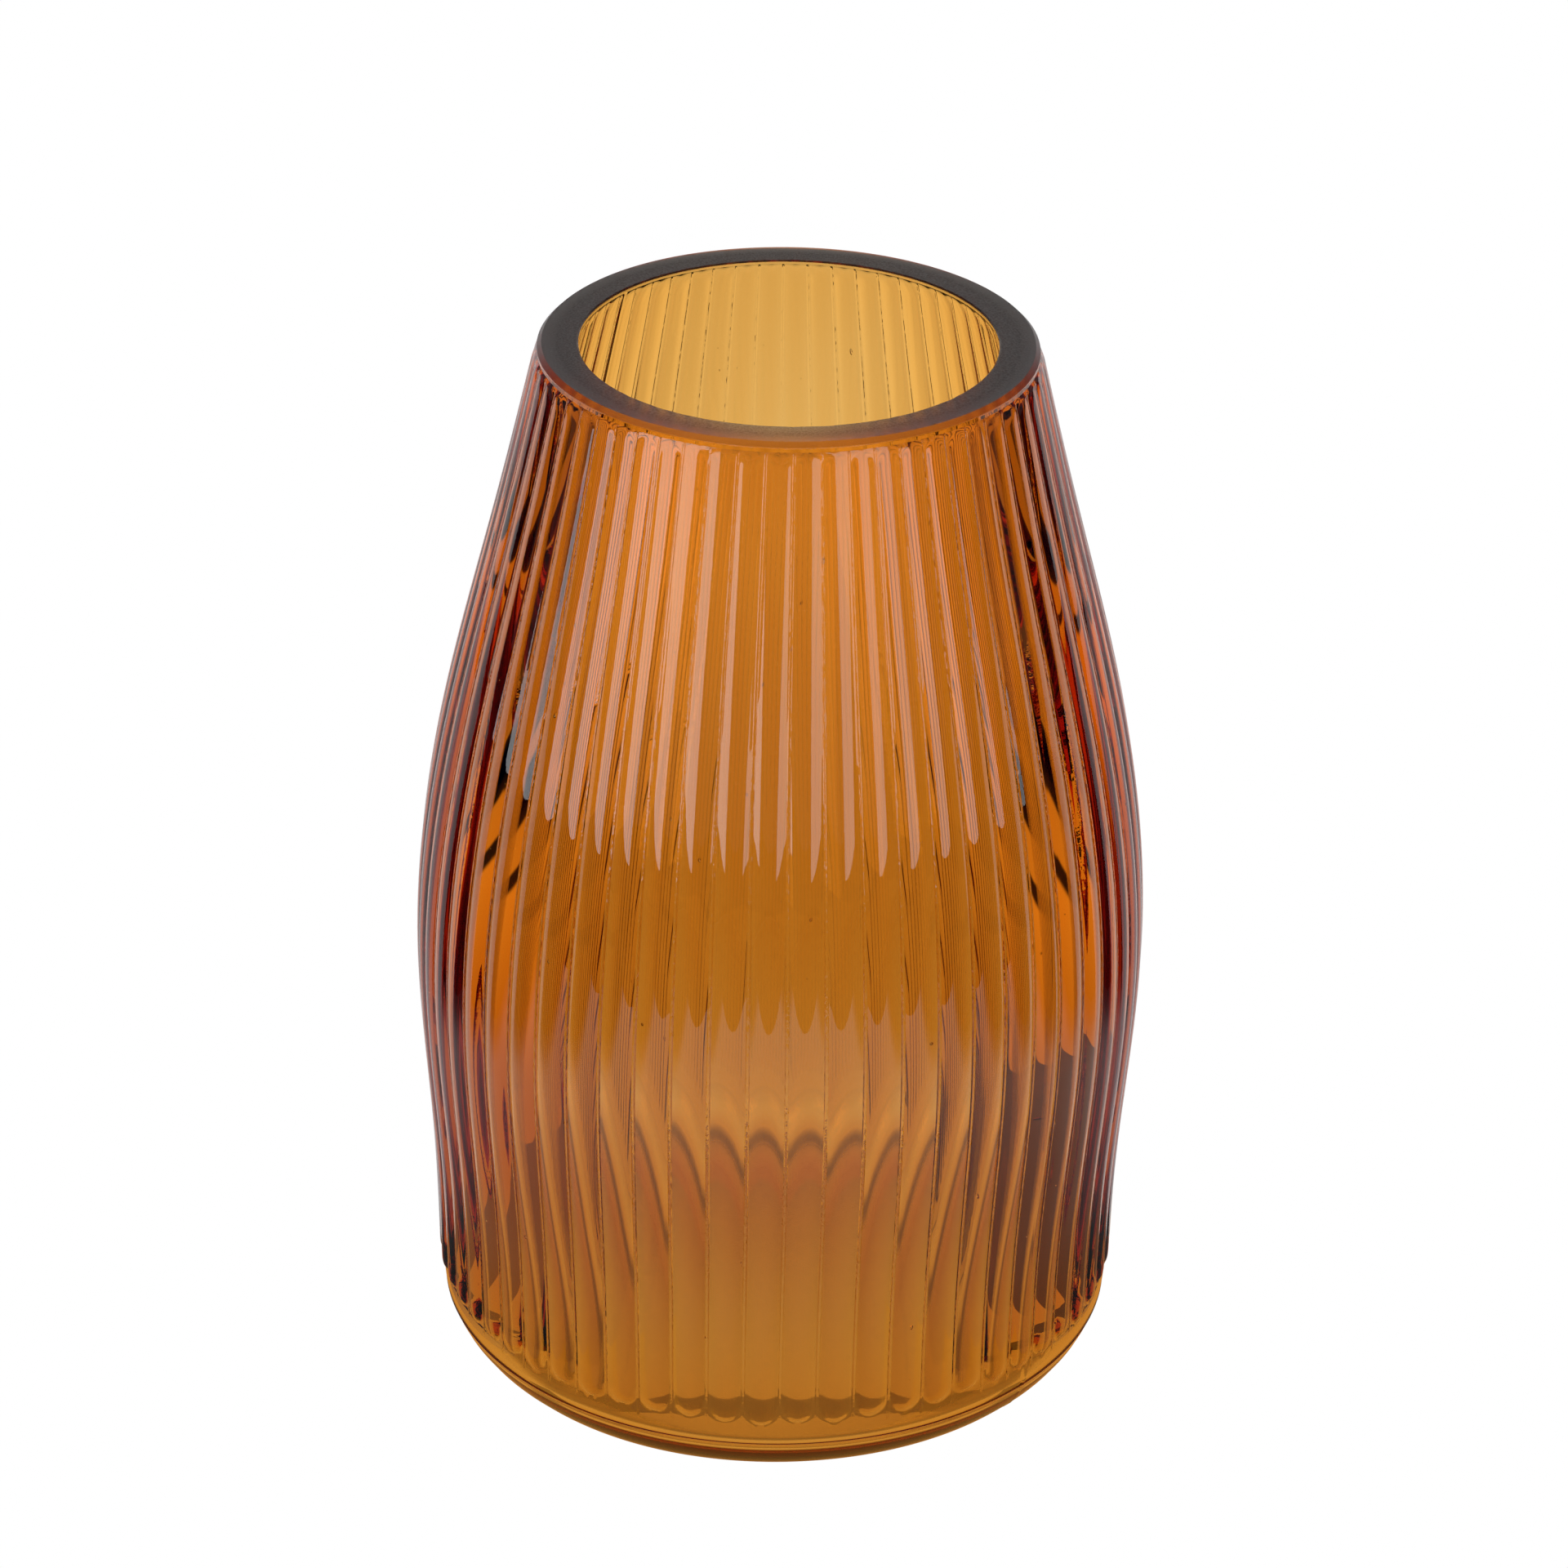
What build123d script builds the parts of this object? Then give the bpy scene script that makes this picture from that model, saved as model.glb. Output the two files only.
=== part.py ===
"""A ribbed amber glass vase: a barrel that narrows to a thick, ground mouth.

One gather of glass, described here as five zones that meet face to face: the pushed-up base, the
smooth heel around it, the ribbed belly and shoulder of the wall, and the ground rim. Millimetres,
+Z up, origin at the centre of the foot.
"""
import math
import os

from build123d import *

# Driving dimensions.
HEIGHT = 200.0
RIBS = 60

# Outlines of the wall as (radius, height), from the top of the heel to the rim. The ribs' crowns
# follow one and the valleys between them the other, so the ribs grow shallower towards the neck.
CROWNS = [(63.8, 13.2), (64.5, 40.0), (67.0, 80.0), (61.6, 130.0), (51.5, 170.0), (44.2, HEIGHT)]
VALLEYS = [(63.0, 13.2), (63.6, 40.0), (66.1, 80.0), (60.8, 130.0), (51.0, 170.0), (43.9, HEIGHT)]

# The heel below the ribs is a quarter round that ends in the flat ring that the vase stands on.
HEEL_RADIUS = 13.2
FOOT_RADIUS = VALLEYS[0][0] - HEEL_RADIUS

# Inside of the wall, above the rounded corner of the floor. The glass is about 7 mm thick at the
# shoulder and the mouth, 5.5 mm low on the wall, and thinnest, 4 mm, in the corner. CORNER_PULL says
# how far the corner bulges towards the heel: 0 is a straight slope, 1 nearly square.
INSIDE = [(58.1, 15.0), (58.3, 50.0), (60.0, 80.0), (54.6, 130.0), (44.5, 170.0), (36.8, HEIGHT)]
FLOOR_HEIGHT = 6.0
FLOOR_RADIUS = 51.0
CORNER_PULL = 0.88

# Shallow dome pressed up into the underside, inside the standing ring.
PUSH_UP_RADIUS = 45.0
PUSH_UP_HEIGHT = 2.5

# Each rib is a rounded bar along the wall, parted from the next by a narrow hollow groove.
GROOVE_SHARE = 0.11
GROOVE_DEPTH_SHARE = 0.08
RIB_BOTTOM = 14.4
RIB_TOP = 197.9
RUN_OUT = 2.5
WALL_SPANS = 11

# The rim is sawn flat and its outer edge is ground to a small chamfer.
RIM_CHAMFER = 0.8

# The wall's two zones meet at one height, and the base meets the heel at one radius. The others meet
# where the ribs end.
SHOULDER_BOTTOM = 100.0
BASE_RADIUS = 42.0

# How far cutters and parting slabs reach past the glass.
CLEAR = 20.0


def outline(points):
    """A smooth curve through (radius, height) points."""
    return Edge.make_spline([Vector(radius, 0, height) for radius, height in points])


def radius_at(curve, height):
    """How far an outline is from the axis at one height."""
    level = Edge.make_line((0, 0, height), (CROWNS[2][0] + CLEAR, 0, height))
    return curve.distance_to_with_closest_points(level)[1].X


def plain_body():
    """The outside without its ribs, as if the vase were not hollow."""
    wall = outline(VALLEYS)
    dome_top, dome_edge = Vector(0, 0, PUSH_UP_HEIGHT), Vector(PUSH_UP_RADIUS, 0, 0)
    foot, axis_top = Vector(FOOT_RADIUS, 0, 0), Vector(0, 0, HEIGHT)
    section = Wire([
        Edge.make_tangent_arc(dome_top, Vector(1, 0, 0), dome_edge),
        Edge.make_line(dome_edge, foot),
        Edge.make_tangent_arc(foot, Vector(1, 0, 0), wall @ 0),
        wall,
        Edge.make_line(wall @ 1, axis_top),
        Edge.make_line(axis_top, dome_top),
    ])
    body = revolve(Face(section), Axis.Z, 360)
    rim = body.edges().filter_by(GeomType.CIRCLE).group_by(Axis.Z)[-1]
    return chamfer(rim, RIM_CHAMFER)


def cavity():
    """The hollow, from the floor up through the mouth."""
    wall = outline(INSIDE)
    corner_foot, corner_top = Vector(FLOOR_RADIUS, 0, FLOOR_HEIGHT), wall @ 0
    along_floor = Vector(CORNER_PULL * (corner_top.X - FLOOR_RADIUS), 0, 0)
    up_wall = (wall % 0) * (CORNER_PULL * (corner_top.Z - FLOOR_HEIGHT) / (wall % 0).Z)
    corner = Edge.make_bezier(corner_foot, corner_foot + along_floor, corner_top - up_wall, corner_top)
    floor_middle, axis_top = Vector(0, 0, FLOOR_HEIGHT), Vector(0, 0, HEIGHT + CLEAR)
    above_mouth = (wall @ 1) + Vector(0, 0, CLEAR)
    section = Wire([
        Edge.make_line(floor_middle, corner_foot),
        corner,
        wall,
        Edge.make_line(wall @ 1, above_mouth),
        Edge.make_line(above_mouth, axis_top),
        Edge.make_line(axis_top, floor_middle),
    ])
    return revolve(Face(section), Axis.Z, 360)


def on_ring(radius, turn, height):
    """A point at one radius and height, a share of a whole turn round from +X."""
    angle = 2 * math.pi * turn
    return Vector(radius * math.cos(angle), radius * math.sin(angle), height)


def ribbed_section(height, rib_share):
    """The wall's outline at one height: an arc over each rib and a small hollow arc in each groove.
    rib_share is 1 where the ribs stand at their full height, and 0 where the outline is round."""
    valley = radius_at(outline(VALLEYS), height)
    rib_height = rib_share * (radius_at(outline(CROWNS), height) - valley)
    shoulder, crown = valley + GROOVE_DEPTH_SHARE * rib_height, valley + rib_height
    arcs = []
    for k in range(RIBS):
        rib_start, rib_middle, rib_end = (k + GROOVE_SHARE / 2, k + 0.5, k + 1 - GROOVE_SHARE / 2)
        next_start = rib_end + GROOVE_SHARE
        arcs.append(Edge.make_three_point_arc(
            on_ring(shoulder, rib_start / RIBS, height),
            on_ring(crown, rib_middle / RIBS, height),
            on_ring(shoulder, rib_end / RIBS, height),
        ))
        arcs.append(Edge.make_three_point_arc(
            on_ring(shoulder, rib_end / RIBS, height),
            on_ring(valley, (k + 1) / RIBS, height),
            on_ring(shoulder, next_start / RIBS, height),
        ))
    return Wire(arcs)


def ribbed_body():
    """The outside of the wall between the ribs' two ends, where they run out to a plain round."""
    middle, half = (RIB_TOP + RIB_BOTTOM) / 2, (RIB_TOP - RIB_BOTTOM) / 2 - RUN_OUT
    heights = [middle - half * math.cos(math.pi * k / WALL_SPANS) for k in range(WALL_SPANS + 1)]
    levels = [ribbed_section(height, 1) for height in heights]
    bottom, top = ribbed_section(RIB_BOTTOM, 0), ribbed_section(RIB_TOP, 0)
    return (
        Solid.make_loft([bottom, levels[0]], ruled=True)
        + Solid.make_loft(levels)
        + Solid.make_loft([levels[-1], top], ruled=True)
    )


def slab(low, high, inner=0.0, outer=CROWNS[2][0] + CLEAR):
    """A round slab or thick tube between two heights, for parting one zone from the rest."""
    disc = Circle(outer) - Circle(inner) if inner else Circle(outer)
    return Pos(0, 0, low) * extrude(disc, high - low)


def zones():
    """Each named zone of the glass, from the foot up."""
    hollow = cavity()
    plain, ribbed = plain_body() - hollow, ribbed_body() - hollow
    yield "base_disc", plain & slab(-CLEAR, RIB_BOTTOM, outer=BASE_RADIUS)
    yield "heel_ring", plain & slab(-CLEAR, RIB_BOTTOM, inner=BASE_RADIUS)
    yield "belly_wall", ribbed & slab(-CLEAR, SHOULDER_BOTTOM)
    yield "shoulder_wall", ribbed & slab(SHOULDER_BOTTOM, HEIGHT)
    yield "ground_rim", plain & slab(RIB_TOP, HEIGHT + CLEAR)


os.makedirs("parts", exist_ok=True)
for name, shape in zones():
    export_step(shape, f"parts/{name}.step")
    print(name, round(shape.volume), "mm3")
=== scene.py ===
"""The looks of a ribbed amber glass vase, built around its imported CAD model.

The glass is one closed mesh, so that light bends and dims in it as in real glass: ribs outside, a slightly
wavy hollow inside, seeds in the wall, and a rim and underside that are ground matt. Metres, +Z up, the CAD
model's own frame.
"""

import math
import random

import bpy
import numpy as np
from mathutils import Matrix, Vector

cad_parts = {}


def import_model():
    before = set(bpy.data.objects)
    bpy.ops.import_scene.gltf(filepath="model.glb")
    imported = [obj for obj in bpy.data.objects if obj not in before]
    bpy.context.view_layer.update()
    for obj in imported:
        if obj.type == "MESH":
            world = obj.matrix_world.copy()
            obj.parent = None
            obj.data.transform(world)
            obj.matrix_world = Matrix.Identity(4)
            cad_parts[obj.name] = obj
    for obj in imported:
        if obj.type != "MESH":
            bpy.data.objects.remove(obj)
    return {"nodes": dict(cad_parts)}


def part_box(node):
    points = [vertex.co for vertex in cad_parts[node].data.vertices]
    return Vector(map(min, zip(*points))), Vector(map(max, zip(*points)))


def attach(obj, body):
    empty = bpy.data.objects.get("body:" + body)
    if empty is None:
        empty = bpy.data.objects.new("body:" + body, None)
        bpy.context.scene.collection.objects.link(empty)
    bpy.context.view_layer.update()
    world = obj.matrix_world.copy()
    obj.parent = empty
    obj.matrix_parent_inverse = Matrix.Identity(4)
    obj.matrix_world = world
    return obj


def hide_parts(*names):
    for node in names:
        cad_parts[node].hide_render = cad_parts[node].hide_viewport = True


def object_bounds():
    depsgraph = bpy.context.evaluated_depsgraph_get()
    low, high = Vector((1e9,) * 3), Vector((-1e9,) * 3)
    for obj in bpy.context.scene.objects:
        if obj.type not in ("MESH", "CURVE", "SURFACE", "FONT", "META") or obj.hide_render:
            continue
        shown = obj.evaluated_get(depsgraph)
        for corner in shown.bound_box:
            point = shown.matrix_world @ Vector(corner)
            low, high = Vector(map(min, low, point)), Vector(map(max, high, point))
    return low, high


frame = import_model()
cad_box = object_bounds()
MM = 0.001

# Driving dimensions, from the CAD model's own boxes.
HEIGHT = cad_box[1].z
BELLY_RADIUS = cad_box[1].x
RIB_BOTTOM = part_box("belly_wall")[0].z
RIB_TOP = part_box("shoulder_wall")[1].z
RIBS = 60

# Outlines of the wall as (radius, height) in millimetres, the same as the CAD model's.
CROWNS = [(63.8, 13.2), (64.5, 40.0), (67.0, 80.0), (61.6, 130.0), (51.5, 170.0), (44.2, 200.0)]
VALLEYS = [(63.0, 13.2), (63.6, 40.0), (66.1, 80.0), (60.8, 130.0), (51.0, 170.0), (43.9, 200.0)]
INSIDE = [(58.1, 15.0), (58.3, 50.0), (60.0, 80.0), (54.6, 130.0), (44.5, 170.0), (36.8, 200.0)]
WIDEST = CROWNS[2][1] * MM

# The foot, the floor and the rim, also the same.
FLOOR_RADIUS = 51.0 * MM
FLOOR_HEIGHT = 6.0 * MM
CORNER_PULL = 0.88
HEEL_RADIUS = 13.2 * MM
PUSH_UP_RADIUS = 45.0 * MM
PUSH_UP_HEIGHT = 2.5 * MM
RIM_CHAMFER = 0.8 * MM

# Across one rib: the groove's share of the pitch, its edges' height as a share of the rib's, and the bead
# that runs along its bottom. Chill marks lie this near to its middle, as a share of the pitch.
GROOVE_SHARE = 0.11
GROOVE_DEPTH_SHARE = 0.08
GROOVE_BEAD = 0.09 * MM
CHILLED_SHARE = 0.3 * GROOVE_SHARE

# An arc rises at least this much, so that its radius stays finite where a rib has ended.
LEAST_RISE = 1e-9

# Columns of the mesh: across a groove, across a rib, and round the smooth surfaces. The smallest rings,
# under the vase and on its floor, have this radius, and edges sharper than this angle stay sharp.
GROOVE_STEPS = 4
RIB_STEPS = 11
INNER_COLUMNS = 180
SMALLEST_RING = 3 * MM
SHARP_EDGE = math.radians(32)

# Each rib ends in a rounded tip, and its middle reaches further than its sides. A bluntness of 1 rises
# along a parabola and 0.5 along a quarter round.
TIP_LENGTH = 2.4 * MM
TIP_ROUND_TOP = 1.2 * MM
TIP_ROUND_BOTTOM = 2.3 * MM
TIP_BLUNT_TOP = 1.0
TIP_BLUNT_BOTTOM = 0.5

# Rows of the mesh: close ones near the ribs' two ends, as distances from them, and the numbers of others.
BOTTOM_ROWS = np.array([0.0, 0.5, 1.0, 1.6, 2.3, 3.1, 4.0, 5.2, 7.0]) * MM
TOP_ROWS = np.array([5.0, 3.6, 2.8, 2.1, 1.5, 1.0, 0.5, 0.1]) * MM
MIDDLE_ROWS = 50
INSIDE_ROWS = 48
CORNER_ROWS = 14
FLOOR_ROWS = 10
UNDERSIDE_ROWS = 12
FOOT_ROWS = (1.0 * MM, 0.3 * MM)

# Round the rim: where the smooth band starts above the ribs, how far below the chamfer the matt begins,
# how much of the lip is worn away, and how far below the rim the hollow begins.
BAND_START = 0.4 * MM
MATT_START = 0.25 * MM
LIP_ROUND = 0.25 * MM
HOLLOW_START = 0.8 * MM

# How far each face is ground matt: 0 is fire-polished and 1 the middle of the rim.
UNDERSIDE_GROUND = 0.8
EDGE_GROUND = 0.8
LIP_GROUND = 0.6

# Blown glass isn't true: the vase leans, its rim is sawn out of level, its walls wave, and its ribs sway
# and differ in fullness and length. The inset keeps all this inside the CAD model's box, and the waves
# inside fade out towards the rim.
LEAN = 0.0088
RIM_TILT = 0.0079
WAVES = 9
WAVE_INSIDE = 0.22 * MM
WAVE_OUTSIDE = 0.06 * MM
WAVE_FADE = 20 * MM
OUTSIDE_INSET = 0.1 * MM
SWAY = 0.3 * MM
RIB_UNEVEN = 0.16
TIP_UNEVEN = 1.1 * MM
RIM_CHIPS = 0.14 * MM

# Each kind of unevenness has its own random draw.
OUTSIDE_DRAW, INSIDE_DRAW, SWAY_DRAW, RIBS_DRAW, SEEDS_DRAW = 11, 23, 31, 3, 5

# The mould leaves two upright seams, opposite each other, and a ring round the heel. Degrees are up the
# heel's quarter round, from the foot.
SEAM_TURNS = (0.878, 0.378)
SEAM_HEIGHT = 0.12 * MM
HEEL_RING = 76
HEEL_RING_HALF = 1.5
HEEL_RING_HEIGHT = 0.16 * MM
HEEL_ROWS = (0, 10, 20, 30, 40, 50, 60, 68, HEEL_RING - HEEL_RING_HALF, HEEL_RING,
             HEEL_RING + HEEL_RING_HALF, 84, 90)

# Seeds are small air bubbles: where they lie over the height and through the wall, and their shape. Near the
# hollow's corner the wall's inside is taken from SEED_INSIDE_FROM, where it is still straight.
SEEDS = 220
SEED_HEIGHTS = (0.1, 0.95)
SEED_DEPTHS = (0.25, 0.85)
SEED_INSIDE_FROM = 30 * MM
SEED_LEAST = 0.07 * MM
SEED_SPREAD = 0.2 * MM
SEED_STRETCH = (1.0, 3.2)
SEED_LEAN = 0.3
SEED_AROUND = 6
SEED_ALONG = 4


def cubic(points):
    """A natural cubic curve through (radius, height) points in millimetres: the radius at a height."""
    radius, height = (np.array(column) * MM for column in zip(*points))
    step, rise = np.diff(height), np.diff(radius) / np.diff(height)
    n = len(points)
    left, right = np.eye(n), np.zeros(n)
    for i in range(1, n - 1):
        left[i, i - 1:i + 2] = step[i - 1], 2 * (step[i - 1] + step[i]), step[i]
        right[i] = 3 * (rise[i] - rise[i - 1])
    bend = np.linalg.solve(left, right)
    slope = rise - step * (2 * bend[:-1] + bend[1:]) / 3

    def value(z):
        i = np.clip(np.searchsorted(height, z) - 1, 0, n - 2)
        t = z - height[i]
        return radius[i] + t * (slope[i] + t * (bend[i] + t * (bend[i + 1] - bend[i]) / (3 * step[i])))

    return value


crown_at, valley_at, inside_at = cubic(CROWNS), cubic(VALLEYS), cubic(INSIDE)


def bezier(t, start, start_pull, end_pull, end):
    """One coordinate of a Bezier curve."""
    s = 1 - t
    return s ** 3 * start + 3 * t * s ** 2 * start_pull + 3 * t ** 2 * s * end_pull + t ** 3 * end


def arc_rise(x, half_width, rise):
    """Height of a circular arc over its chord, at x from the chord's middle."""
    radius = (half_width ** 2 + rise ** 2) / (2 * rise)
    return np.sqrt(np.maximum(radius ** 2 - x ** 2, 0)) - (radius - rise)


def column_shares():
    """Where the wall's columns stand across one pitch, from one groove's middle to the next."""
    half = GROOVE_SHARE / 2
    groove = np.linspace(-half, half, GROOVE_STEPS + 1)
    rib = np.linspace(half, 1 - half, RIB_STEPS + 1)
    return np.concatenate([groove[GROOVE_STEPS // 2:], rib[1:], 1 + groove[1:GROOVE_STEPS // 2]])


SHARES = column_shares()
COLUMNS = RIBS * len(SHARES)
OUTER_TURNS = (np.arange(RIBS)[:, None] + SHARES[None, :]).ravel() / RIBS
INNER_TURNS = np.arange(INNER_COLUMNS) / INNER_COLUMNS
CHILLED = np.tile(np.minimum(SHARES, 1 - SHARES) < CHILLED_SHARE, RIBS).astype(float)

uneven_draws = np.random.default_rng(RIBS_DRAW)
RIB_FULLNESS = np.repeat(1 - RIB_UNEVEN * uneven_draws.random(RIBS), len(SHARES))
TIP_SHIFT = np.repeat(TIP_UNEVEN * uneven_draws.random(RIBS), len(SHARES))
CHIP_DEPTHS = RIM_CHIPS * uneven_draws.random(INNER_COLUMNS) ** 3

SEAM = np.zeros(COLUMNS)
SEAM[[round(turn * COLUMNS) for turn in SEAM_TURNS]] = SEAM_HEIGHT


def tip(reach, bluntness):
    """How far a rib has risen at this distance from the end of its tip: a rounded rise, then full."""
    t = np.clip(reach / TIP_LENGTH, 0, 1)
    return (t * (2 - t)) ** bluntness


def wave(turns, z, draw, amount):
    """Slow unevenness of blown glass, in metres, over the turn and height."""
    rng = random.Random(draw)
    total = np.zeros(np.shape(turns))
    for _ in range(WAVES):
        around, along = rng.randint(1, 7), rng.uniform(0.3, 2.4)
        phase = rng.uniform(0, 2 * math.pi)
        total = total + np.sin(2 * math.pi * (around * turns + along * z / HEIGHT) + phase)
    return amount * total / math.sqrt(WAVES)


def wall_radius(z):
    """The outside of the ribbed wall at one height, over all its columns."""
    valley = valley_at(z)
    share = OUTER_TURNS * RIBS % 1
    from_middle = np.abs(share - 0.5) * 2
    above = RIB_TOP - TIP_ROUND_TOP * from_middle ** 2 - z
    below = z - RIB_BOTTOM - TIP_SHIFT - TIP_ROUND_BOTTOM * from_middle ** 2
    rising = tip(above, TIP_BLUNT_TOP) * tip(below, TIP_BLUNT_BOTTOM)
    height = (crown_at(z) - valley) * RIB_FULLNESS * rising
    shoulder = GROOVE_DEPTH_SHARE * height
    pitch = 2 * math.pi * valley / RIBS
    half_rib, half_groove = (1 - GROOVE_SHARE) / 2 * pitch, GROOVE_SHARE / 2 * pitch
    rib = shoulder + arc_rise((share - 0.5) * pitch, half_rib, np.maximum(height - shoulder, LEAST_RISE))
    from_groove = np.minimum(share, 1 - share) * pitch
    bead = GROOVE_BEAD * (height / (BELLY_RADIUS - valley_at(WIDEST))) ** 2
    groove = shoulder + arc_rise(from_groove, half_groove, np.maximum(bead, LEAST_RISE))
    return valley + np.where(from_groove < half_groove, groove, rib)


def inner_ring(radius, z, ground=0.0):
    """A ring of the smooth surfaces: (turns, radii, heights, ground, chilled)."""
    flat = np.zeros(INNER_COLUMNS)
    return INNER_TURNS, flat + radius, flat + z, ground, flat


def outer_ring(radius, z, ground=0.0, chilled=0.0):
    """The same for the outside, with its waves, sway and upright seams."""
    flat = np.zeros(COLUMNS)
    proud = wave(OUTER_TURNS, z, OUTSIDE_DRAW, WAVE_OUTSIDE) - OUTSIDE_INSET + SEAM * (1 - ground)
    sway = wave(OUTER_TURNS, z, SWAY_DRAW, SWAY) / (2 * math.pi * BELLY_RADIUS)
    return OUTER_TURNS + sway, radius + proud, flat + z, ground, flat + chilled


def underside_rings():
    """The push-up, then the flat standing ring."""
    dome = (PUSH_UP_HEIGHT ** 2 + PUSH_UP_RADIUS ** 2) / (2 * PUSH_UP_HEIGHT)
    for r in np.linspace(SMALLEST_RING, PUSH_UP_RADIUS, UNDERSIDE_ROWS):
        z = PUSH_UP_HEIGHT - dome + math.sqrt(dome ** 2 - r ** 2)
        yield inner_ring(r, max(z, 0), UNDERSIDE_GROUND)
    foot = valley_at(HEEL_RADIUS) - HEEL_RADIUS
    for from_heel in FOOT_ROWS:
        yield inner_ring(foot - from_heel, 0.0, UNDERSIDE_GROUND)


def heel_rings():
    """A quarter round from the foot up to the wall, with the mould's ring on it."""
    foot = valley_at(HEEL_RADIUS) - HEEL_RADIUS
    for degrees in HEEL_ROWS:
        angle = math.radians(degrees)
        radius = HEEL_RADIUS + (HEEL_RING_HEIGHT if degrees == HEEL_RING else 0)
        yield outer_ring(foot + radius * math.sin(angle), HEEL_RADIUS - radius * math.cos(angle))


def wall_rings():
    """The ribbed wall: close rows where the ribs end, open ones between."""
    bottom, top = RIB_BOTTOM + BOTTOM_ROWS, RIB_TOP - TOP_ROWS
    middle = np.linspace(bottom[-1], top[0], MIDDLE_ROWS)[1:-1]
    for z in np.concatenate([bottom, middle, top]):
        yield outer_ring(wall_radius(z), z, chilled=CHILLED)


def rim_rings():
    """A smooth band, the ground chamfer, the ground top, and the lip with its small chips."""
    chamfer_foot = HEIGHT - RIM_CHAMFER
    rim, mouth = valley_at(chamfer_foot), inside_at(HEIGHT)
    yield outer_ring(rim, RIB_TOP + BAND_START)
    yield outer_ring(rim, chamfer_foot - MATT_START)
    yield outer_ring(rim, chamfer_foot, EDGE_GROUND)
    yield outer_ring(rim - RIM_CHAMFER, HEIGHT, EDGE_GROUND)
    yield inner_ring((rim + mouth) / 2, HEIGHT, 1.0)
    yield inner_ring(mouth + LIP_ROUND + CHIP_DEPTHS, HEIGHT, 1.0)
    yield inner_ring(mouth, HEIGHT - LIP_ROUND, LIP_GROUND)


def hollow_rings():
    """The inside of the wall from the lip down, the rounded corner and the floor."""
    corner_top = INSIDE[0][1] * MM
    for z in np.linspace(HEIGHT - HOLLOW_START, corner_top, INSIDE_ROWS):
        fade = min(1, (HEIGHT - z) / WAVE_FADE)
        yield inner_ring(inside_at(z) + wave(INNER_TURNS, z, INSIDE_DRAW, WAVE_INSIDE) * fade, z)
    corner_radius = inside_at(corner_top)
    slope = (inside_at(corner_top + MM) - corner_radius) / MM
    pull_out = CORNER_PULL * (corner_radius - FLOOR_RADIUS)
    pull_down = CORNER_PULL * (corner_top - FLOOR_HEIGHT)
    last_wave = wave(INNER_TURNS, corner_top, INSIDE_DRAW, WAVE_INSIDE)
    for t in np.linspace(0, 1, CORNER_ROWS)[1:]:
        r = bezier(t, corner_radius, corner_radius - slope * pull_down, FLOOR_RADIUS + pull_out, FLOOR_RADIUS)
        z = bezier(t, corner_top, corner_top - pull_down, FLOOR_HEIGHT, FLOOR_HEIGHT)
        yield inner_ring(r + last_wave * (1 - t), z)
    for r in np.linspace(FLOOR_RADIUS, SMALLEST_RING, FLOOR_ROWS)[1:]:
        yield inner_ring(r, FLOOR_HEIGHT)


def zipper(first, second, turns_a, turns_b):
    """Faces between two rings of vertex numbers: quads if they have the same columns, triangles if not."""
    n, m = len(first), len(second)
    if n == m:
        return [(first[i], first[(i + 1) % n], second[(i + 1) % n], second[i]) for i in range(n)]
    faces, i, j = [], 0, 0
    while i < n or j < m:
        next_a = turns_a[i + 1] if i + 1 < n else (1.0 if i < n else 2.0)
        next_b = turns_b[j + 1] if j + 1 < m else (1.0 if j < m else 2.0)
        a, b = first[i % n], second[j % m]
        if j >= m or (i < n and next_a <= next_b):
            faces.append((a, first[(i + 1) % n], b))
            i += 1
        else:
            faces.append((a, second[(j + 1) % m], b))
            j += 1
    return faces


def add_shell(points, faces, ground, chilled):
    """The vase's own surface, from the middle of the underside, out, up, over the rim and down inside."""
    rings = [*underside_rings(), *heel_rings(), *wall_rings(), *rim_rings(), *hollow_rings()]
    members = []
    for turns, radii, heights, ring_ground, ring_chilled in rings:
        angles = 2 * math.pi * turns
        members.append(range(len(points), len(points) + len(turns)))
        points += list(zip(radii * np.cos(angles), radii * np.sin(angles), heights))
        ground += [ring_ground] * len(turns)
        chilled += ring_chilled.tolist()
    for i in range(len(rings) - 1):
        faces += zipper(members[i], members[i + 1], rings[i][0], rings[i + 1][0])
    # The middles of the underside, which faces down, and of the floor.
    backwards = members[0][::-1]
    for ring, z, share in ((backwards, PUSH_UP_HEIGHT, UNDERSIDE_GROUND), (members[-1], FLOOR_HEIGHT, 0.0)):
        faces += [(ring[i - 1], ring[i], len(points)) for i in range(INNER_COLUMNS)]
        points.append((0.0, 0.0, z))
        ground.append(share)


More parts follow.
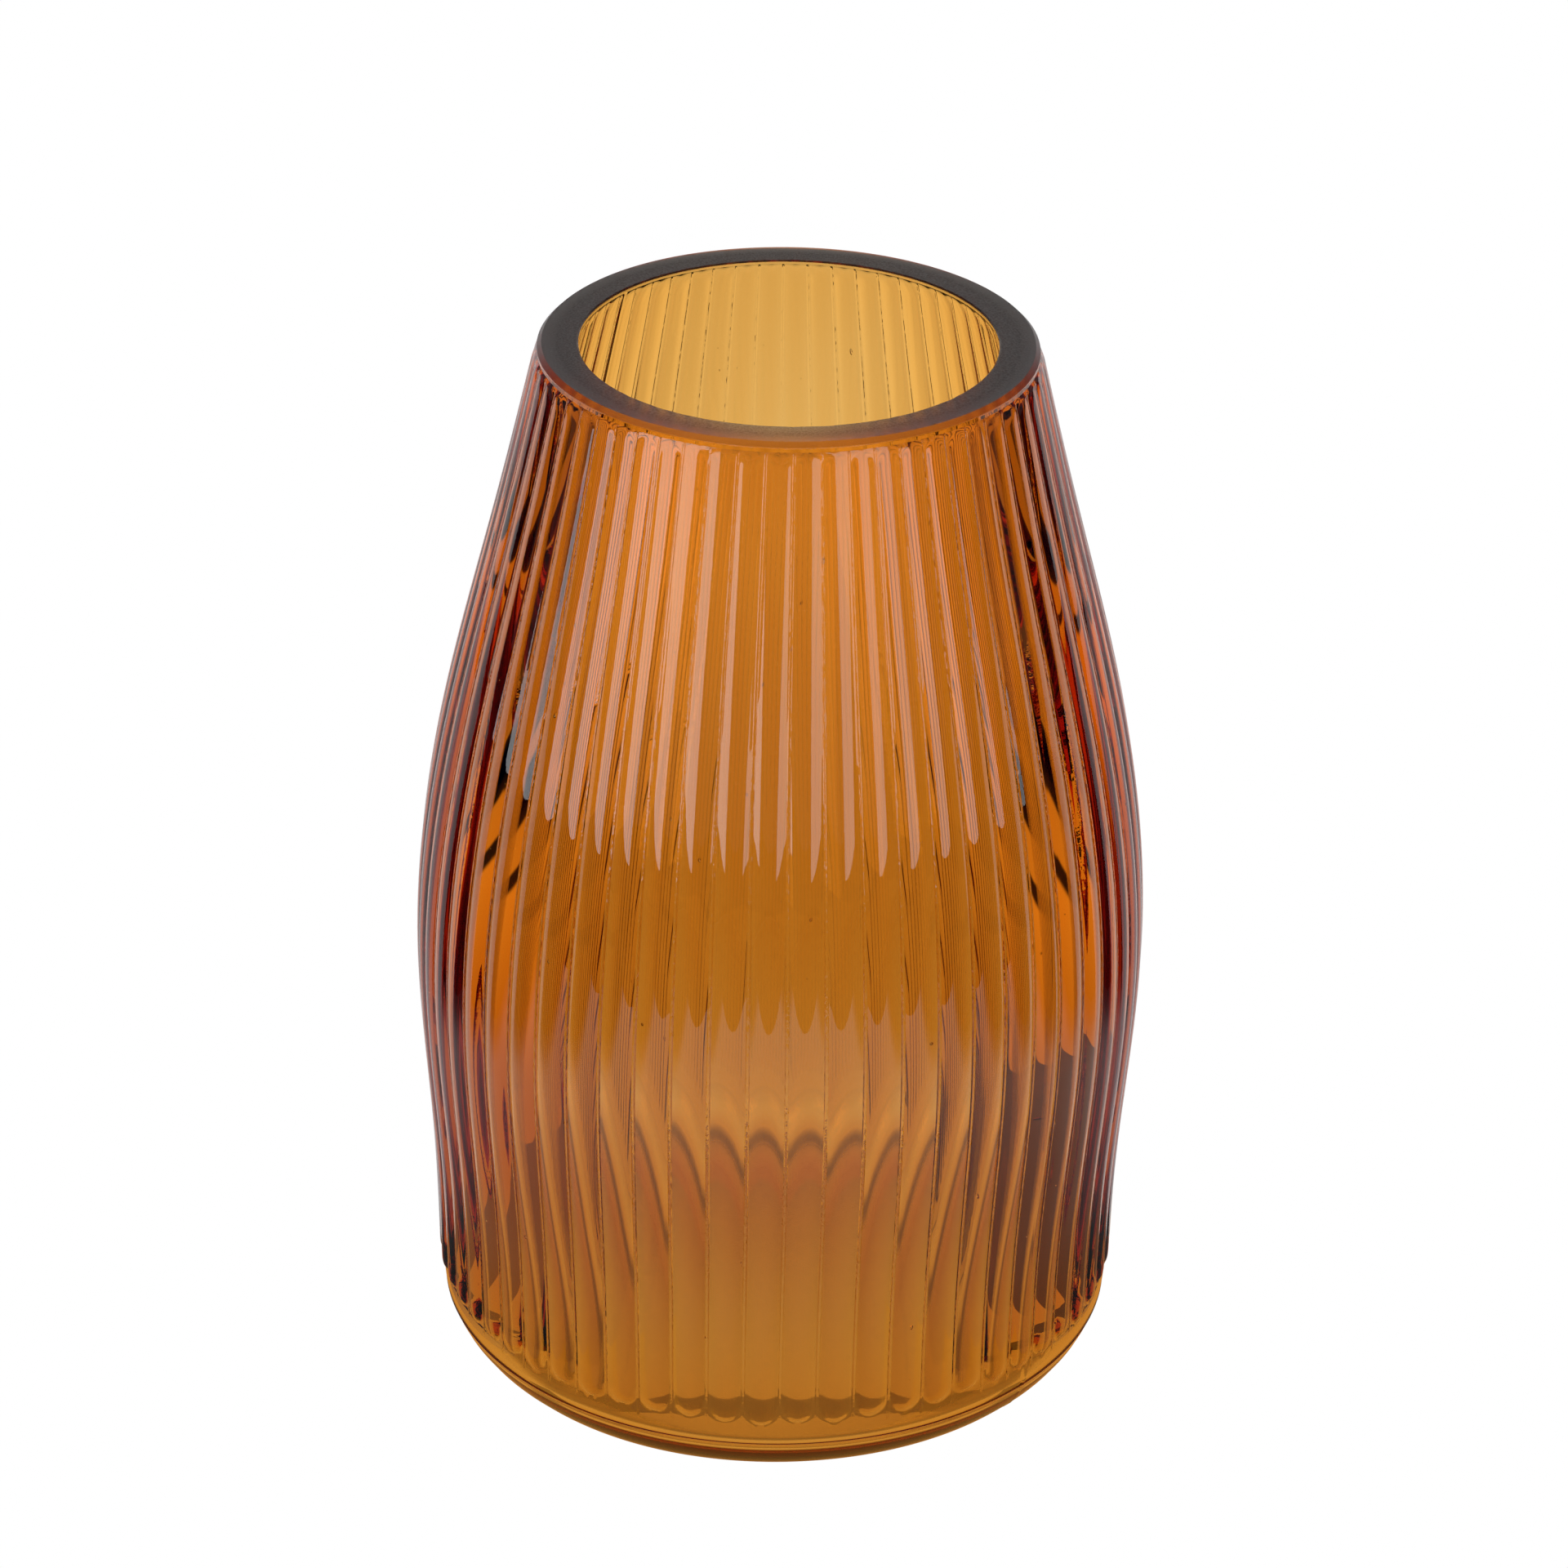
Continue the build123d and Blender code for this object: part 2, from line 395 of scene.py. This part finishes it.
def add_seed(points, faces, rng):
    """One seed in the wall: a hollow, so its faces look inwards."""
    turn, z = rng.random(), rng.uniform(*SEED_HEIGHTS) * HEIGHT
    inner, outer = inside_at(max(z, SEED_INSIDE_FROM)), valley_at(z)
    r = inner + (outer - inner) * rng.uniform(*SEED_DEPTHS)
    angle = 2 * math.pi * turn
    middle = Vector((r * math.cos(angle), r * math.sin(angle), z))
    short_half = SEED_LEAST + SEED_SPREAD * rng.random() ** 3
    long_half = short_half * rng.uniform(*SEED_STRETCH)
    tilt = Matrix.Rotation(rng.uniform(-SEED_LEAN, SEED_LEAN), 3, "Y")
    start = len(points)
    for k in range(1, SEED_ALONG):
        polar = math.pi * k / SEED_ALONG
        for i in range(SEED_AROUND):
            a = 2 * math.pi * i / SEED_AROUND
            across, along = short_half * math.sin(polar), long_half * math.cos(polar)
            points.append(tuple(middle + tilt @ Vector((across * math.cos(a), across * math.sin(a), along))))
    top, bottom = len(points), len(points) + 1
    end = tilt @ Vector((0, 0, long_half))
    points += [tuple(middle + end), tuple(middle - end)]
    last = start + (SEED_ALONG - 2) * SEED_AROUND
    for row in range(start, last, SEED_AROUND):
        for i in range(SEED_AROUND):
            a, b = row + i, row + (i + 1) % SEED_AROUND
            faces.append((a, b, b + SEED_AROUND, a + SEED_AROUND))
    for i in range(SEED_AROUND):
        j = (i + 1) % SEED_AROUND
        faces.append((top, start + j, start + i))
        faces.append((last + i, last + j, bottom))


def lean_and_tilt(place):
    """Lean the vase about its widest height and tilt its rim downwards. The foot stays flat on the table."""
    z = place[:, 2].copy()
    high = np.clip((z - WIDEST) / (HEIGHT - WIDEST), 0, 1)
    place[:, 0] += LEAN * (z - WIDEST)
    place[:, 2] -= RIM_TILT * (place[:, 0] + valley_at(HEIGHT)) * high ** 2


def glass_mesh():
    """The whole vase as one closed mesh. Its attributes say how far each place is ground, and where the
    grooves are chilled."""
    points, faces, ground, chilled = [], [], [], []
    add_shell(points, faces, ground, chilled)
    rng = random.Random(SEEDS_DRAW)
    for _ in range(SEEDS):
        add_seed(points, faces, rng)
    place = np.array(points)
    lean_and_tilt(place)
    mesh = bpy.data.meshes.new("vase_glass")
    mesh.from_pydata(place.tolist(), [], faces)
    mesh.update()
    for name, values in (("ground", ground), ("groove", chilled)):
        filled = values + [0.0] * (len(points) - len(values))
        mesh.attributes.new(name, "FLOAT", "POINT").data.foreach_set("value", np.array(filled, np.float32))
    mesh.shade_smooth()
    mesh.set_sharp_from_angle(angle=SHARP_EDGE)
    return mesh


def nodes_of(owner):
    """Turn on the nodes of a material or world and empty them: (nodes, links)."""
    owner.use_nodes = True
    tree = owner.node_tree
    tree.nodes.clear()
    return tree.nodes, tree.links


def maths(nodes, links, operation, *values):
    """A maths node over plain numbers and other nodes' sockets."""
    node = nodes.new("ShaderNodeMath")
    node.operation = operation
    for socket, value in zip(node.inputs, values):
        if isinstance(value, (int, float)):
            socket.default_value = value
        else:
            links.new(value, socket)
    return node.outputs["Value"]


def attribute_of(nodes, name):
    """One of the mesh's own attributes."""
    attribute = nodes.new("ShaderNodeAttribute")
    attribute.attribute_name = name
    return attribute.outputs["Fac"]


def noise_of(nodes, links, stretch, scale, detail):
    """Noise over the object's own place, stretched along the height by a factor."""
    place = nodes.new("ShaderNodeTexCoord")
    squeeze = nodes.new("ShaderNodeMapping")
    squeeze.inputs["Scale"].default_value = (1, 1, 1 / stretch)
    noise = nodes.new("ShaderNodeTexNoise")
    noise.inputs["Scale"].default_value = scale
    noise.inputs["Detail"].default_value = detail
    links.new(place.outputs["Object"], squeeze.inputs["Vector"])
    links.new(squeeze.outputs["Vector"], noise.inputs["Vector"])
    return noise.outputs["Fac"]


def bump_on(nodes, links, height, distance, below=None):
    """A bump of so many metres, on top of another's normal."""
    bump = nodes.new("ShaderNodeBump")
    bump.inputs["Distance"].default_value = distance
    links.new(height, bump.inputs["Height"])
    if below is not None:
        links.new(below, bump.inputs["Normal"])
    return bump.outputs["Normal"]


# The glass absorbs 1 less TINT of each colour, TINT_DENSITY times in a metre.
TINT = (0.93, 0.713, 0.19, 1)
TINT_DENSITY = 400

# Roughness of the chill marks, and of ground glass: its least and how much more the grain gives.
CHILL_ROUGHNESS = 0.06
MATT_ROUGHNESS = 0.28
GRAIN_ROUGHNESS = 0.3

# Painted shade on the ground rim, a dark grey that dims the light coming through it, and how much of it shows
# even where the grain has none.
GROUND_PAINTED_SHADE = (0.2, 0.17, 0.17, 1)
PAINTED_SHADE_LEAST = 0.35

# Heights of the skin's ripples, the chill marks and the grain.
RIPPLE_HEIGHT = 0.02 * MM
CHILL_HEIGHT = 0.12 * MM
GRAIN_HEIGHT = 0.06 * MM


def amber_glass():
    """Amber glass: fire-polished skin with faint drawn-out ripples, chill marks along the grooves, matt
    grain where it is ground, and painted shade, a speckled dark grey, on the hardest ground faces."""
    material = bpy.data.materials.new("amber_glass")
    nodes, links = nodes_of(material)
    output = nodes.new("ShaderNodeOutputMaterial")
    skin = nodes.new("ShaderNodeBsdfPrincipled")
    skin.inputs["Transmission Weight"].default_value = 1
    skin.inputs["IOR"].default_value = 1.52
    tint = nodes.new("ShaderNodeVolumeAbsorption")
    tint.inputs["Color"].default_value = TINT
    tint.inputs["Density"].default_value = TINT_DENSITY
    links.new(skin.outputs["BSDF"], output.inputs["Surface"])
    links.new(tint.outputs["Volume"], output.inputs["Volume"])

    ground, groove = attribute_of(nodes, "ground"), attribute_of(nodes, "groove")
    ripple = noise_of(nodes, links, stretch=5, scale=160, detail=1.5)
    chill = noise_of(nodes, links, stretch=2, scale=1500, detail=2.0)
    grain = noise_of(nodes, links, stretch=1, scale=2600, detail=3.0)
    chill_marks = maths(nodes, links, "MULTIPLY", chill, groove)

    # Roughness: none on the skin, a little along the grooves, uneven where ground.
    grainy = maths(nodes, links, "MULTIPLY_ADD", grain, GRAIN_ROUGHNESS, MATT_ROUGHNESS)
    matt = maths(nodes, links, "MULTIPLY", grainy, ground)
    rough = maths(nodes, links, "MULTIPLY_ADD", chill_marks, CHILL_ROUGHNESS, matt)
    links.new(rough, skin.inputs["Roughness"])

    # Colour: clear skin, and painted shade, a speckled dark grey, on faces ground harder than the underside.
    painted_shade_mask = nodes.new("ShaderNodeMapRange")
    painted_shade_mask.inputs["From Min"].default_value = UNDERSIDE_GROUND
    links.new(ground, painted_shade_mask.inputs["Value"])
    speckled_shade = maths(nodes, links, "ADD", grain, PAINTED_SHADE_LEAST)
    colour = nodes.new("ShaderNodeMix")
    colour.data_type = "RGBA"
    colour.inputs["A"].default_value = (1, 1, 1, 1)
    colour.inputs["B"].default_value = GROUND_PAINTED_SHADE
    links.new(maths(nodes, links, "MULTIPLY", painted_shade_mask.outputs["Result"], speckled_shade), colour.inputs["Factor"])
    links.new(colour.outputs["Result"], skin.inputs["Base Color"])

    rippled = bump_on(nodes, links, ripple, RIPPLE_HEIGHT)
    chilled = bump_on(nodes, links, chill_marks, CHILL_HEIGHT, rippled)
    ground_grain = maths(nodes, links, "MULTIPLY", grain, ground)
    links.new(bump_on(nodes, links, ground_grain, GRAIN_HEIGHT, chilled), skin.inputs["Normal"])
    return material


vase = bpy.data.objects.new("vase_glass", glass_mesh())
bpy.context.scene.collection.objects.link(vase)
vase.data.materials.append(amber_glass())
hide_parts(*sorted(frame["nodes"]))
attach(vase, "root")

# The studio: glowing panels, each seen by some kinds of ray only. THROUGH is for what shows through the
# glass and MIRRORED for what it reflects.
THROUGH = dict(camera=False, glossy=False)
MIRRORED = dict(camera=False, transmission=False, shadow=False, diffuse=False)
SOFTBOX_DISTANCE = 1.1
SOFTBOX_BOTTOM = -0.05
SOFTBOX_TOP = 1.0

# The table's brightness, painted on: over the distance from the vase's middle, as a share of TABLE_REACH,
# times that over the distance to either side, in metres. Painted shade dims it round the vase, a painted
# contact shadow rings the foot, and painted dark bands run along both sides.
TABLE_REACH = 0.4
TABLE_OUTWARDS = [(0.0, 0.75), (0.12, 0.73), (0.131, 0.3), (0.143, 0.8), (0.2, 0.72), (0.3, 0.66),
                  (0.5, 0.74), (0.7, 0.85), (0.9, 0.95), (1.0, 0.95)]
TABLE_SIDES = [(0.0, 0.833), (0.13, 0.833), (0.2, 1.0), (0.34, 1.0), (0.36, 0.03), (0.385, 0.03), (0.4, 0.85),
               (0.5, 0.85), (0.53, 0.03), (0.75, 0.03), (0.78, 0.6), (1.0, 0.6)]
# The table as the glass mirrors it: a painted shadow round the foot, and darker towards its sides.
TABLE_MIRRORED_OUTWARDS = [(0.0, 0.08), (0.2, 0.08), (0.3, 0.35), (0.5, 0.75), (1.0, 0.85)]
TABLE_MIRRORED_SIDES = [(0.0, 1.0), (0.16, 1.0), (0.22, 0.1), (1.0, 0.1)]

# From this far behind the vase, the bands draw in by this much for each metre further back.
BANDS_TURN = 0.2
BANDS_DRAW_IN = 0.25


def emitter(name, corners, radiance, colour=(1, 1, 1, 1), **seen_by):
    """A flat glowing panel. seen_by says which rays see it."""
    mesh = bpy.data.meshes.new(name)
    mesh.from_pydata([tuple(c) for c in corners], [], [(0, 1, 2, 3)])
    panel = bpy.data.objects.new(name, mesh)
    bpy.context.scene.collection.objects.link(panel)
    material = bpy.data.materials.new(name)
    nodes, links = nodes_of(material)
    output = nodes.new("ShaderNodeOutputMaterial")
    glow = nodes.new("ShaderNodeEmission")
    glow.inputs["Color"].default_value = colour
    glow.inputs["Strength"].default_value = radiance
    links.new(glow.outputs["Emission"], output.inputs["Surface"])
    mesh.materials.append(material)
    for kind, seen in seen_by.items():
        setattr(panel, "visible_" + kind, seen)
    return panel


def level(left, right, near, far, z):
    """The corners of a level panel. Near is the camera's side."""
    return [(left, near, z), (right, near, z), (right, far, z), (left, far, z)]


def curve_of(nodes, links, value, points):
    """A curve through (value, result) points."""
    node = nodes.new("ShaderNodeFloatCurve")
    curve = node.mapping.curves[0]
    curve.points[0].location, curve.points[1].location = points[0], points[-1]
    for point in points[1:-1]:
        curve.points.new(*point)
    node.mapping.update()
    links.new(value, node.inputs["Value"])
    return node.outputs["Value"]


def table(name, corners, gain, outwards, sides, **seen_by):
    """A table top with its light and shade painted on: gain, by the curve outwards, by the curve to the
    sides.
    """
    tree = emitter(name, corners, gain, **seen_by).data.materials[0].node_tree
    nodes, links = tree.nodes, tree.links
    place = nodes.new("ShaderNodeNewGeometry").outputs["Position"]
    apart = nodes.new("ShaderNodeVectorMath")
    apart.operation = "LENGTH"
    links.new(place, apart.inputs[0])
    split = nodes.new("ShaderNodeSeparateXYZ")
    links.new(place, split.inputs["Vector"])
    past_turn = maths(nodes, links, "SUBTRACT", split.outputs["Y"], BANDS_TURN)
    behind = maths(nodes, links, "MAXIMUM", past_turn, 0.0)
    to_side = maths(nodes, links, "ABSOLUTE", split.outputs["X"])
    aside = maths(nodes, links, "MULTIPLY_ADD", behind, BANDS_DRAW_IN, to_side)
    reach = maths(nodes, links, "DIVIDE", apart.outputs["Value"], TABLE_REACH)
    by_reach, by_side = curve_of(nodes, links, reach, outwards), curve_of(nodes, links, aside, sides)
    share = maths(nodes, links, "MULTIPLY", by_reach, by_side)
    links.new(maths(nodes, links, "MULTIPLY", share, gain), nodes["Emission"].inputs["Strength"])


def softbox(name, start, end, radiance):
    """An upright panel between two azimuths, in degrees from the camera's side, right positive."""
    a, b = (Vector((math.sin(math.radians(t)), -math.cos(math.radians(t)), 0)) * SOFTBOX_DISTANCE
            for t in (start, end))
    low, high = Vector((0, 0, SOFTBOX_BOTTOM)), Vector((0, 0, SOFTBOX_TOP))
    emitter(name, [a + low, b + low, b + high, a + high], radiance, camera=False)


def table_top():
    """The floor that the camera sees, the table as the glass shows and mirrors it, the amber light that the
    vase throws round its foot, and the shade under and beside it."""
    emitter("floor_far", level(-8, 8, -8, 8, -0.002), 1.0, glossy=False, transmission=False)
    table("table", level(-0.9, 0.9, -0.85, 1.2, -0.0002), 1.2, TABLE_OUTWARDS, TABLE_SIDES, **THROUGH)
    table("table_mirrored", level(-0.22, 0.22, -0.32, 0.02, -0.0002), 1.0, TABLE_MIRRORED_OUTWARDS,
          TABLE_MIRRORED_SIDES, **MIRRORED)
    emitter("table_back", level(-0.9, 0.9, 0.02, 1.2, -0.0003), 0.7, **MIRRORED)
    emitter("amber_glow", level(-0.07, 0.07, -0.07, 0.07, -0.00015), 0.6, (1, 0.42, 0.08, 1), **MIRRORED)
    emitter("shade_foot", level(-0.05, 0.05, -0.041, -0.034, -0.0001), 0.35, **THROUGH)
    emitter("shade_right", level(0.085, 0.16, -0.08, 0.06, 0.0002), 0.14, **THROUGH)
    emitter("shade_left", level(-0.13, -0.094, -0.06, 0.02, 0.0002), 0.28, **THROUGH)
    emitter("table_dark", level(-2, 2, -2, 1.2, -0.001), 0.02, **MIRRORED)


def lights():
    """A softbox at either side of the camera and a pale backdrop."""
    backdrop = [(-0.9, 1.2, 0), (0.9, 1.2, 0), (0.9, 1.2, 0.8), (-0.9, 1.2, 0.8)]
    emitter("backdrop", backdrop, 0.8, camera=False)
    softbox("softbox_right", 17, 47, 2.5)
    softbox("softbox_left", -72, -36, 3.4)


def world():
    """White behind the vase for the camera, and a dim room for everything else."""
    made = bpy.data.worlds.new("studio")
    nodes, links = nodes_of(made)
    output = nodes.new("ShaderNodeOutputWorld")
    room = nodes.new("ShaderNodeBackground")
    path = nodes.new("ShaderNodeLightPath")
    brightness = nodes.new("ShaderNodeMapRange")
    brightness.inputs["To Min"].default_value = 0.15
    brightness.inputs["To Max"].default_value = 1.0
    links.new(path.outputs["Is Camera Ray"], brightness.inputs["Value"])
    links.new(brightness.outputs["Result"], room.inputs["Strength"])
    links.new(room.outputs["Background"], output.inputs["Surface"])
    bpy.context.scene.world = made


def camera():
    """A long lens from the front and above, aimed at the middle of the vase."""
    data = bpy.data.cameras.new("camera")
    data.sensor_width = 36
    data.lens = 125.5
    data.shift_x, data.shift_y = 0.0025, 0.0375
    eye = bpy.data.objects.new("camera", data)
    bpy.context.scene.collection.objects.link(eye)
    azimuth, elevation, roll = math.radians(-1.1), math.radians(28.28), math.radians(0.32)
    distance, aside = 1.002, math.cos(elevation)
    back = Vector((math.sin(azimuth) * aside, -math.cos(azimuth) * aside, math.sin(elevation)))
    eye.location = Vector((0, 0, HEIGHT / 2)) + back * distance
    eye.rotation_mode = "QUATERNION"
    upright = (-back).to_track_quat("-Z", "Y")
    eye.rotation_quaternion = upright @ Matrix.Rotation(roll, 4, "Z").to_quaternion()
    bpy.context.scene.camera = eye


table_top()
lights()
world()
camera()

scene = bpy.context.scene
scene.view_settings.view_transform = "Standard"
scene.cycles.max_bounces = 32
scene.cycles.transmission_bounces = 32
scene.cycles.glossy_bounces = 16
